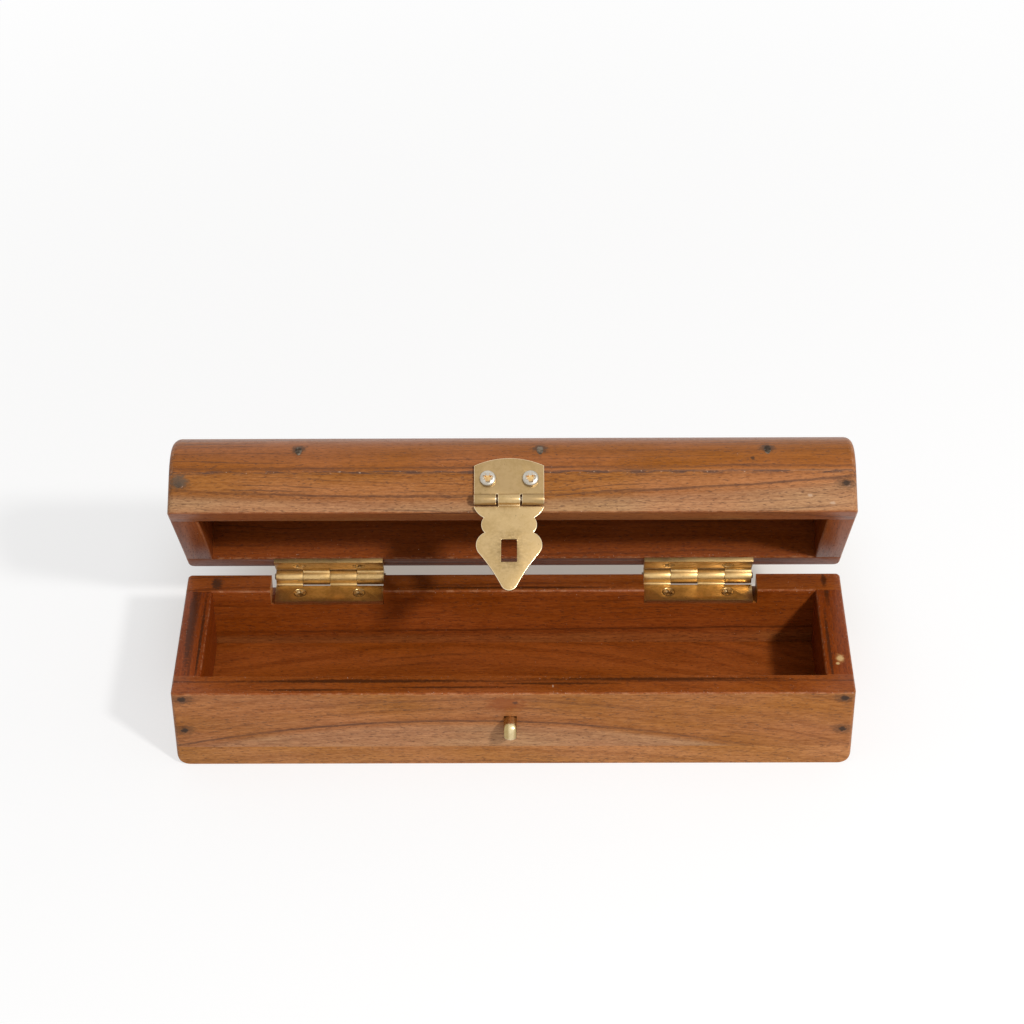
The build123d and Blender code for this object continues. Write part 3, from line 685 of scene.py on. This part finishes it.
tray_end_wood = wood(
    "tray_end_wood", ORANGE, DEEP, across=True, Seed=3.0, Ring_gap=4.0, Lines=0.9, Rim_line=-109.5,
    marks=rim_marks(
        (110.6, -14.2, 3.0, 0.6, CHIP_RING), (110.7, -14.0, 1.8, 0.75, CHIP_PALE),
        (109.6, -16.8, 0.8, 1.0, CHIP_PALE), (-110.9, 6.0, 34.0, 0.05, RIM_DARK),
        (-107.0, -2.0, 26.0, 0.025, RIM_DARK), (-106.6, 26.0, 5.0, 0.4, STAIN_BLACK),
        (109.0, 24.0, 12.0, 0.09, RIM_DARK), (107.4, -8.0, 24.0, 0.03, RIM_DARK)), **TRAY_SIDE)
tray_base_wood = wood(
    "tray_base_wood", BASE_PALE, BASE_WARM, boxes=(TRAY_BOX,), Seed=4.0, Bow=0.0009, Bow_middle=-20.0,
    Ring_gap=3.4, Lines=0.4)
lid_front_wood = wood(
    "lid_front_wood", PALE, WARM, Seed=5.0, Slope=0.0206, Bow=-0.000312, Ring_gap=4.2, Lines=0.85,
    Line_at=37.74, nails=[(NAIL_X, -HALF_DEPTH, LID_NAIL_Z)],
    marks=[((-NAIL_X, -HALF_DEPTH, LID_NAIL_Z + 1.2), 2.9, 1.25, PLUG_GREY),
           ((98.6, -HALF_DEPTH, 37.3), 0.7, 1.5, SCRATCH_PALE),
           ((106.0, -HALF_DEPTH, 34.5), 0.6, 2.0, SCRATCH_PALE)], **LID_SIDE)
lid_back_wood = wood(
    "lid_back_wood", PALE, WARM, Seed=6.0, Ring_gap=4.6, Lines=0.6,
    nails=[(NAIL_X, HALF_DEPTH, LID_NAIL_Z)], **LID_SIDE)
lid_end_wood = wood(
    "lid_end_wood", PALE, WARM, across=True, Seed=7.0, Ring_gap=4.0, Lines=0.7, **LID_SIDE)
# The top board's underside is darkened: painted shade of the lid's hollow, partly a darker lacquer
lid_top_wood = wood(
    "lid_top_wood", TOP_ORANGE, WARM, lid=True, seam=LID_SEAM, boxes=(DOME_END_SHEEN,), inner=LID_HOLLOW_LACQUER_AND_SHADE,
    deep=1.0, Seed=8.0, Slope=0.004, Ring_gap=4.4, Lines=0.75, Line_at=47.4,
    marks=[((x, side * TOP_STAIN_Y, TOP_STAIN_Z), 2.9, 1.1, STAIN_BROWN)
           for x in TOP_NAIL_X for side in (-1, 1)] + [((80.1, -31.0, 50.6), 0.9, 1.0, STAIN_BLACK)])

# Scratches on the flap: beside the slot's middle, up the flap from it, and length in reaches
FLAP_SCRATCHES = ((-3.6, 6.2, 2.0), (-2.2, 5.9, 1.3), (-5.2, 7.6, 1.6), (5.0, -2.4, 1.0), (-1.2, 7.4, 2.2),
                  (2.6, -6.0, 0.8))
flap_marks = [(SLOT, 8.5, 0.9, 0.35), (SLOT, 5.6, 0.8, 0.5)] + [
    (SLOT + Vector((beside, 0, 0)) + higher * FLAP_UP, 0.9, length, 0.85)
    for beside, higher, length in FLAP_SCRATCHES]

# Bright and tarnished colours, tarnish, brushing, polish and the bump's depth
hasp_brass = brass("hasp_brass", (0.60, 0.42, 0.205, 1), (0.40, 0.265, 0.105, 1), 0.6, 0.3, 0.30,
                   marks=flap_marks)
# The plate's brass is darker than the flap's: painted shade for its different facing
shaded_plate_brass = brass("shaded_plate_brass", (0.48, 0.325, 0.155, 1), (0.33, 0.215, 0.085, 1), 0.6, 0.5, 0.30)
# A paler brass for the bevelled edges of the plate and flap: a painted highlight
edge_highlight_brass = brass("edge_highlight_brass", (0.95, 0.80, 0.54, 1), (0.80, 0.60, 0.33, 1), 0.4, 0.3, 0.3)
hinge_brass = brass("hinge_brass", (0.70, 0.47, 0.205, 1), (0.44, 0.27, 0.095, 1), 0.75, 1.0, 0.30, 0.014)
staple_brass = brass("staple_brass", (0.82, 0.66, 0.38, 1), (0.36, 0.25, 0.09, 1), 0.5, 0.5, 0.24, crown=0.4)
screw_brass = brass("screw_brass", (0.88, 0.63, 0.32, 1), (0.46, 0.29, 0.11, 1), 0.9, 0.8, 0.26, 0.03)
screw_shadow = brass("screw_shadow", (0.34, 0.20, 0.075, 1), (0.17, 0.10, 0.035, 1), 0.8, 0.4, 0.4)
screw_plating = brass("screw_plating", (0.60, 0.56, 0.48, 1), (0.38, 0.34, 0.28, 1), 0.7, 0.2, 0.3)
screw_recess = brass("screw_recess", (0.85, 0.58, 0.26, 1), (0.40, 0.20, 0.06, 1), 0.7, 0.2, 0.22)
pin_steel = brass("pin_steel", (0.40, 0.33, 0.24, 1), (0.16, 0.11, 0.07, 1), 0.9, 0.4, 0.38)
top_nail_steel = brass(
    "top_nail_steel", (0.24, 0.19, 0.14, 1), (0.055, 0.036, 0.024, 1), 1.2, 1.2, 0.42, 0.06)


def nail_iron_finish():
    """Dull, darkened nail heads, filled over with lacquer."""
    made, tree, shader, place = material("nail_iron")
    metal = use(tree, METAL, Position=place, Bright=(0.10, 0.075, 0.06, 1), Tarnished=(0.02, 0.014, 0.011, 1),
                Tarnish=1.0, Brushing=0.2, Polish=0.42)
    surface(tree, shader, metal["Color"], metal["Roughness"], metal["Height"], 0.12)
    shader.inputs["Metallic"].default_value = 0.35
    return made


nail_iron = nail_iron_finish()

# --- Boards ---------------------------------------------------------------------------------

BOARDS = {
    "tray_base_board": ("tray", tray_base_wood), "tray_front_board": ("tray", tray_front_wood),
    "tray_back_board": ("tray", tray_back_wood), "tray_left_end": ("tray", tray_end_wood),
    "tray_right_end": ("tray", tray_end_wood), "lid_front_board": ("lid", lid_front_wood),
    "lid_back_board": ("lid", lid_back_wood), "lid_left_end": ("lid", lid_end_wood),
    "lid_right_end": ("lid", lid_end_wood),
}
for node, (body, finish) in BOARDS.items():
    fitted(bevelled(cast(node), 0.2, 3), node, body, body + "_wood", finish)

SHOULDER_RADIUS = 16.0
DOME_RISE = LID_CROWN - LID_SEAM
SHOULDER_RUN = HALF_DEPTH - SHOULDER_RADIUS
CROWN_RADIUS = ((SHOULDER_RUN ** 2 + DOME_RISE ** 2 - SHOULDER_RADIUS ** 2)
                / (2 * (DOME_RISE - SHOULDER_RADIUS)))
CROWN_DROP = CROWN_RADIUS - DOME_RISE
CROWN_ANGLE = asin(SHOULDER_RUN / (CROWN_RADIUS - SHOULDER_RADIUS))


def dome_board(end_round=2.4):
    """The lid's top board: its underside's front edge spun over the shoulders and the crown."""
    put_down()
    bpy.ops.mesh.primitive_plane_add(size=1, location=(0, 0, LID_SEAM * MM))
    board = bpy.context.object
    board.name = "lid_top_board_finished"
    board.scale = (2 * HALF_LENGTH * MM, 2 * HALF_DEPTH * MM, 1)
    bpy.ops.object.transform_apply(location=True, rotation=True, scale=True)
    edit(board, "EDGE")
    pick_edges(board, lambda a, b: max(a.y, b.y) < -HALF_DEPTH + 0.01)
    arcs = ((-SHOULDER_RUN, 0, pi / 2 - CROWN_ANGLE, 12), (0, -CROWN_DROP, 2 * CROWN_ANGLE, 20),
            (SHOULDER_RUN, 0, pi / 2 - CROWN_ANGLE, 12))
    for y, z, angle, steps in arcs:
        bpy.ops.mesh.spin(steps=steps, angle=angle, center=(0, y * MM, (LID_SEAM + z) * MM), axis=(1, 0, 0))
    bpy.ops.mesh.select_all(action="SELECT")
    bpy.ops.mesh.remove_doubles(threshold=0.01 * MM)
    for end in (-HALF_LENGTH, HALF_LENGTH):
        pick_edges(board, lambda a, b: abs(a.x - end) < 0.01 and abs(b.x - end) < 0.01)
        bpy.ops.mesh.edge_face_add()
    bpy.ops.mesh.select_all(action="SELECT")
    bpy.ops.mesh.normals_make_consistent(inside=False)
    pick_edges(board, lambda a, b: abs(a.x) > HALF_LENGTH - 0.01 and abs(b.x) > HALF_LENGTH - 0.01
               and a.x * b.x > 0 and max(a.z, b.z) > LID_SEAM + 0.01)
    bpy.ops.mesh.bevel(offset=end_round * MM, segments=6, profile=0.5)
    put_down()
    return board


top_board = dome_board()
dome = copy_of(top_board, "dome_outside")
bevelled(top_board, 0.2, 3)
settle(top_board, OPENED)
fitted(top_board, "lid_top_board", "lid", "lid_wood", lid_top_wood)

# --- Nails ----------------------------------------------------------------------------------


def nail_head(seed):
    """One dark, slightly uneven nail head, its face about level with the wood at the origin."""
    head = turned("nail_head", [(1.3, -0.7), (1.62, -0.02), (1.56, 0.03), (1.0, 0.05), (0.4, 0.02)], 18)
    edit(head)
    bpy.ops.transform.vertex_random(offset=0.06 * MM, uniform=0.0, normal=0.0, seed=seed)
    take_up(head)
    bpy.ops.object.shade_smooth()
    return head


def placed(piece, point, outward, spin=0.0):
    """Put a piece drawn along +Z at a point in millimetres, turned to face an outward direction."""
    place = Matrix.Translation(Vector(point) * MM)
    return settle(piece, place @ facing(outward) @ Matrix.Rotation(spin, 4, "Z"))


def nails(node, points, outward, body, finish):
    """All the nail heads of one CAD node."""
    heads = [placed(nail_head(index + len(node)), point, outward, index * 1.3)
             for index, point in enumerate(points)]
    piece = joined(heads, node + "_finished")
    if body == "lid":
        settle(piece, OPENED)
    fitted(piece, node, body, "nail_iron", finish)


for side, word in ((-1, "front"), (1, "back")):
    for body, levels in (("tray", TRAY_NAILS), ("lid", (LID_NAIL_Z,))):
        spots = [(end * NAIL_X, side * HALF_DEPTH, level) for end in (-1, 1) for level in levels]
        nails(f"{body}_{word}_nails", spots, (0, side, 0), body, BOARDS[f"{body}_{word}_board"][1])
spots = [(step * BASE_NAIL_SPACING, side * BASE_NAIL_Y, BASE_NAIL_DEPTH)
         for side in (-1, 1) for step in (-1.5, -0.5, 0.5, 1.5)]
nails("tray_base_nails", spots, (0, 0, -1), "tray", nail_iron)


def top_nails():
    """The nails through the top board, cut off along the dome's slope."""
    shanks = []
    for side in (-1, 1):
        for x in TOP_NAIL_X:
            shank = turned("top_nail", [(1.1, LID_SEAM + 0.5), (1.1, LID_CROWN)], 20)
            shanks.append(settle(shank, Matrix.Translation(Vector((x, side * TOP_NAIL_Y, 0)) * MM)))
    piece = joined(shanks, "lid_top_nails_finished")
    # The dome grown a little from its seam, so that the cut ends stand just proud of the wood
    foot = Matrix.Translation((0, 0, LID_SEAM * MM))
    grown = settle(dome, foot @ Matrix.Diagonal((1, 1.0018, 1.0035, 1)) @ foot.inverted())
    cut(piece, grown, "INTERSECT")
    settle(piece, OPENED)
    fitted(piece, "lid_top_nails", "lid", "nail_iron", top_nail_steel)


top_nails()

# --- Screws ---------------------------------------------------------------------------------


def cross_cutter(arm, arm_length, level, depth):
    """One tapered arm of a driver's tip, its mouth at a level."""
    put_down()
    bpy.ops.mesh.primitive_cube_add(size=1, location=(0, 0, level * MM))
    tool = bpy.context.object
    tool.scale = (arm_length * MM, 0.32 * arm_length * MM, 2 * depth * MM)
    bpy.ops.object.transform_apply(location=True, rotation=True, scale=True)
    edit(tool, "FACE", "DESELECT")
    bpy.ops.object.mode_set(mode="OBJECT")
    for face in tool.data.polygons:
        face.select = face.normal.z < -0.5
    bpy.ops.object.mode_set(mode="EDIT")
    bpy.ops.transform.resize(value=(0.35, 0.6, 1), center_override=(0, 0, (level - depth) * MM))
    put_down()
    return settle(tool, Matrix.Rotation(arm * pi / 2, 4, "Z"))


def crossed(screw, arm_length, level, depth):
    """Cut the cross recess and take off the burr."""
    for arm in (0, 1):
        cut(screw, cross_cutter(arm, arm_length, level, depth))
    return bevelled(screw, 0.07, angle=25, smooth=40)


def pan_screw():
    """A pan-head screw, its seat at the origin."""
    profile = [(1.3, -3.0), (1.3, -0.02), (2.62, -0.01), (2.75, 0.12), (2.75, 0.62), (2.6, 0.98), (2.3, 1.24),
               (1.85, 1.4), (1.3, 1.48), (0.5, 1.5)]
    return crossed(turned("pan_screw", profile, 40), arm_length=5.6, level=1.5, depth=1.0)


def flat_screw():
    """A countersunk screw, its face at the origin."""
    profile = [(1.2, -4.0), (1.2, -1.25), (2.14, -0.33), (2.2, -0.2), (1.85, -0.09), (1.4, -0.03), (0.6, 0.0)]
    return crossed(turned("flat_screw", profile, 36), arm_length=5.4, level=0.0, depth=0.8)


def recess_faces(piece, axes, radius, top, ring=99.0):
    """Give the second material to the faces of each head's recess, and of the shaded ring round
    the head; axes are (point, outward)."""
    for face in piece.data.polygons:
        for point, outward in axes:
            arm = face.center - Vector(point) * MM
            rise = arm.dot(Vector(outward))
            beside = (arm - Vector(outward) * rise).length
            sunk = face.normal.dot(Vector(outward)) < 0.6 or rise < top * MM - 0.4 * MM
            if beside < radius * MM and rise > -1.0 * MM and sunk:
                face.material_index = 1
            if ring * MM < beside < 3 * MM and rise > -0.5 * MM:
                face.material_index = 1


def recessed(piece, node, body, face, recess, axes, radius=1.8, top=1.5, ring=99.0):
    """Finish joined screws: one material on the heads and another in their recesses."""
    piece.data.materials.clear()
    piece.data.materials.append(face)
    piece.data.materials.append(recess)
    recess_faces(piece, axes, radius, top, ring)
    if body == "lid":
        settle(piece, OPENED)
    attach(piece, body)
    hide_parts(node)


def hasp_screws():
    """The two screws of the hasp plate."""
    spots = [(HASP_X + side * HASP_SCREW_SPREAD, -HALF_DEPTH - PLATE_FACE, HASP_PIN_Z + HASP_SCREW_RISE)
             for side in (-1, 1)]
    screws = [placed(pan_screw(), spot, (0, -1, 0), spin) for spot, spin in zip(spots, (0.0, 0.06))]
    piece = joined(screws, "hasp_screws_finished")
    recessed(piece, "hasp_screws", "lid", screw_plating, screw_recess,
             [(spot, (0, -1, 0)) for spot in spots], radius=2.0)


def leaf_screws(node, level, outward, body, spins):
    """The four screws of one body's hinge leaves."""
    spots = [(middle + side * LEAF_SCREW_SPREAD, HALF_DEPTH - LEAF_SCREW_INSET, level)
             for middle in (-HINGE_MIDDLE, HINGE_MIDDLE) for side in (-1, 1)]
    screws = [placed(flat_screw(), spot, outward, spin) for spot, spin in zip(spots, spins)]
    piece = joined(screws, node + "_finished")
    recessed(piece, node, body, screw_brass, screw_shadow,
             [(spot, outward) for spot in spots], radius=1.7, top=0.0, ring=1.9)


hasp_screws()
leaf_screws("tray_leaf_screws", HINGE.z - LEAF_THICKNESS, (0, 0, 1), "tray", (0.5, 0.75, 0.7, 0.6))
leaf_screws("lid_leaf_screws", HINGE.z + LEAF_THICKNESS, (0, 0, -1), "lid", (0.2, 0.9, 0.4, 0.1))

# --- Hinges, hasp and staple ----------------------------------------------------------------

for side in ("left", "right"):
    for body in ("tray", "lid"):
        leaf = f"{side}_hinge_{body}_leaf"
        fitted(bevelled(cast(leaf), LEAF_EDGE, 3), leaf, body, "hinge_brass", hinge_brass)
    pin = f"{side}_hinge_pin"
    fitted(bevelled(cast(pin), 0.35, 4), pin, "tray", "pin_steel", pin_steel)
fitted(bevelled(cast("hasp_pin"), 0.2, 3), "hasp_pin", "lid", "pin_steel", pin_steel)
for node, body, finish in (("hasp_plate", "lid", shaded_plate_brass), ("hasp_flap", "hasp_flap", hasp_brass)):
    sheet = cast(node)
    for metal in (finish, edge_highlight_brass):
        sheet.data.materials.append(metal)
    # The bevel's faces take the paler brass as a painted highlight, except round the slot
    bevelled(sheet, SHEET_EDGE, 3, edge=1)
    for face in sheet.data.polygons:
        middle = face.center / MM
        if (middle - SLOT).length < SLOT_REACH and abs(middle.x - HASP_X) < SLOT_BESIDE:
            face.material_index = 0
    fitted(sheet, node, body, "hasp_brass")


def crowned_staple(bend=2.9, width=4.3, thickness=1.4, shoulder=0.35):
    """The staple: a half-round section drawn out, spun round both bends and drawn back."""
    low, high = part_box("staple")
    bottom, top, front, back = (value / MM for value in (low.z, high.z, low.y, high.y))
    inner = bottom + thickness
    put_down()
    bpy.ops.mesh.primitive_circle_add(vertices=32, radius=MM, fill_type="NGON", rotation=(pi / 2, 0, 0),
                                      location=(HASP_X * MM, back * MM, (inner - shoulder) * MM))
    piece = bpy.context.object
    piece.name = "staple_finished"
    piece.scale = (width / 2, thickness - shoulder, 1)
    bpy.ops.object.transform_apply(location=True, rotation=True, scale=True)
    for point in piece.data.vertices:
        if point.co.z > (inner - shoulder + 0.01) * MM:
            point.co.z = inner * MM
    edit(piece, "FACE")
    near = front + bend
    bpy.ops.mesh.extrude_region_move(TRANSFORM_OT_translate={"value": (0, (near - back) * MM, 0)})
    bpy.ops.mesh.spin(steps=8, angle=pi / 2, center=(0, near * MM, (bottom + bend) * MM), axis=(1, 0, 0))
    bpy.ops.mesh.extrude_region_move(TRANSFORM_OT_translate={"value": (0, 0, (top - bottom - 2 * bend) * MM)})
    bpy.ops.mesh.spin(steps=8, angle=pi / 2, center=(0, near * MM, (top - bend) * MM), axis=(1, 0, 0))
    bpy.ops.mesh.extrude_region_move(TRANSFORM_OT_translate={"value": (0, (back - near) * MM, 0)})
    bpy.ops.mesh.select_all(action="SELECT")
    bpy.ops.mesh.remove_doubles(threshold=0.002 * MM)
    bpy.ops.mesh.normals_make_consistent(inside=False)
    take_up(piece)
    bpy.ops.object.shade_smooth_by_angle(angle=radians(40))
    return piece


fitted(crowned_staple(), "staple", "tray", "staple_brass", staple_brass)

# --- Stage ----------------------------------------------------------------------------------

put_down()
bpy.ops.mesh.primitive_plane_add(size=8, location=(0, 0, 0))
floor = bpy.context.object
floor.name = "floor"

PAPER = (0.9, 0.89, 0.88, 1)
PAPER_PAINTED_SHADOW = (0.62, 0.54, 0.44, 1)
SHADOW_STRIP_MIDDLE = 0.062  # of the shaded strip behind the box


def paper_sweep():
    """Pale paper, seen as almost pure white but still keeping the box's shadow, with a painted shadow strip
    behind the box.
    """
    made, tree, shader, place = material("paper")
    shader.inputs["Roughness"].default_value = 0.9
    shader.inputs["Emission Color"].default_value = (1, 1, 1, 1)
    glow = put(tree, "Emission", {"Color": (1, 1, 1, 1), "Strength": 1.0}).outputs[0]
    seen = seen_directly(tree)
    tree.links.new(times(tree, seen, 0.14), shader.inputs["Emission Strength"])
    distance = put(tree, "VectorMath", {0: place}, operation="LENGTH").outputs["Value"]
    white = fade(tree, distance, 0.15, 0.7, 0.6, 1.0)
    # A painted shadow: a greyer, warmer strip close behind the box, seen through the gap under the lid, where
    # the paper also glows less
    axes = parted(tree, place)
    behind = apart(tree, axes[1], SHADOW_STRIP_MIDDLE)
    beside = calc(tree, "ABSOLUTE", axes[0])
    strip = times(tree, fade(tree, behind, 0.016, 0.075, 1.0, 0.0), fade(tree, beside, 0.07, 0.15, 1.0, 0.0))
    white = times(tree, white, calc(tree, "SUBTRACT", 1.0, strip))
    tree.links.new(blend(tree, strip, PAPER, PAPER_PAINTED_SHADOW), shader.inputs["Base Color"])
    both = put(tree, "MixShader", {0: times(tree, seen, white), 1: shader.outputs[0], 2: glow}).outputs[0]
    tree.links.new(both, tree.nodes["Material Output"].inputs["Surface"])
    return made


floor.data.materials.append(paper_sweep())


def studio_world():
    """Even pale light, which the camera and the metal see as white."""
    world = bpy.data.worlds.new("studio")
    bpy.context.scene.world = world
    world.use_nodes = True
    tree = world.node_tree
    seen = seen_directly(tree)
    strength = calc(tree, "MULTIPLY_ADD", seen, 0.5, 0.5)
    tree.links.new(strength, tree.nodes["Background"].inputs["Strength"])
    tree.nodes["Background"].inputs["Color"].default_value = (1, 1, 1, 1)


studio_world()


def lamp(name, place, size, power, aim=(0, 0, 0.04)):
    """A soft square lamp that looks at a point on the box."""
    light = bpy.data.lights.new(name, "AREA")
    light.size = size
    light.energy = power
    holder = bpy.data.objects.new(name, light)
    bpy.context.scene.collection.objects.link(holder)
    place, aim = Vector(place), Vector(aim)
    holder.matrix_world = Matrix.Translation(place) @ facing(place - aim)


KEY_PLACE, KEY_SIZE, KEY_POWER = (0.762, -0.829, 1.031), 0.14, 15
lamp("key", KEY_PLACE, KEY_SIZE, KEY_POWER)

# The camera at the photograph's place and angle
PITCH, YAW, ROLL = 0.6602, -0.0101, -0.0093
CAMERA_PLACE = (0.0072003, -0.7193239, 0.6422381)
LENS, SENSOR = 96.69, 36
look = Vector((sin(YAW) * cos(PITCH), cos(YAW) * cos(PITCH), -sin(PITCH)))
right = look.cross(Vector((0, 0, 1))).normalized()
up = right.cross(look)
turned_right = right * cos(ROLL) + up * sin(ROLL)
turned_up = up * cos(ROLL) - right * sin(ROLL)
camera_data = bpy.data.cameras.new("camera")
camera_data.sensor_width = SENSOR
camera_data.lens = LENS
camera = bpy.data.objects.new("camera", camera_data)
bpy.context.scene.collection.objects.link(camera)
camera.matrix_world = Matrix.Translation(CAMERA_PLACE) @ Matrix(
    (turned_right, turned_up, -look)).transposed().to_4x4()
bpy.context.scene.camera = camera
bpy.context.scene.view_settings.view_transform = "Standard"

bpy.context.view_layer.update()
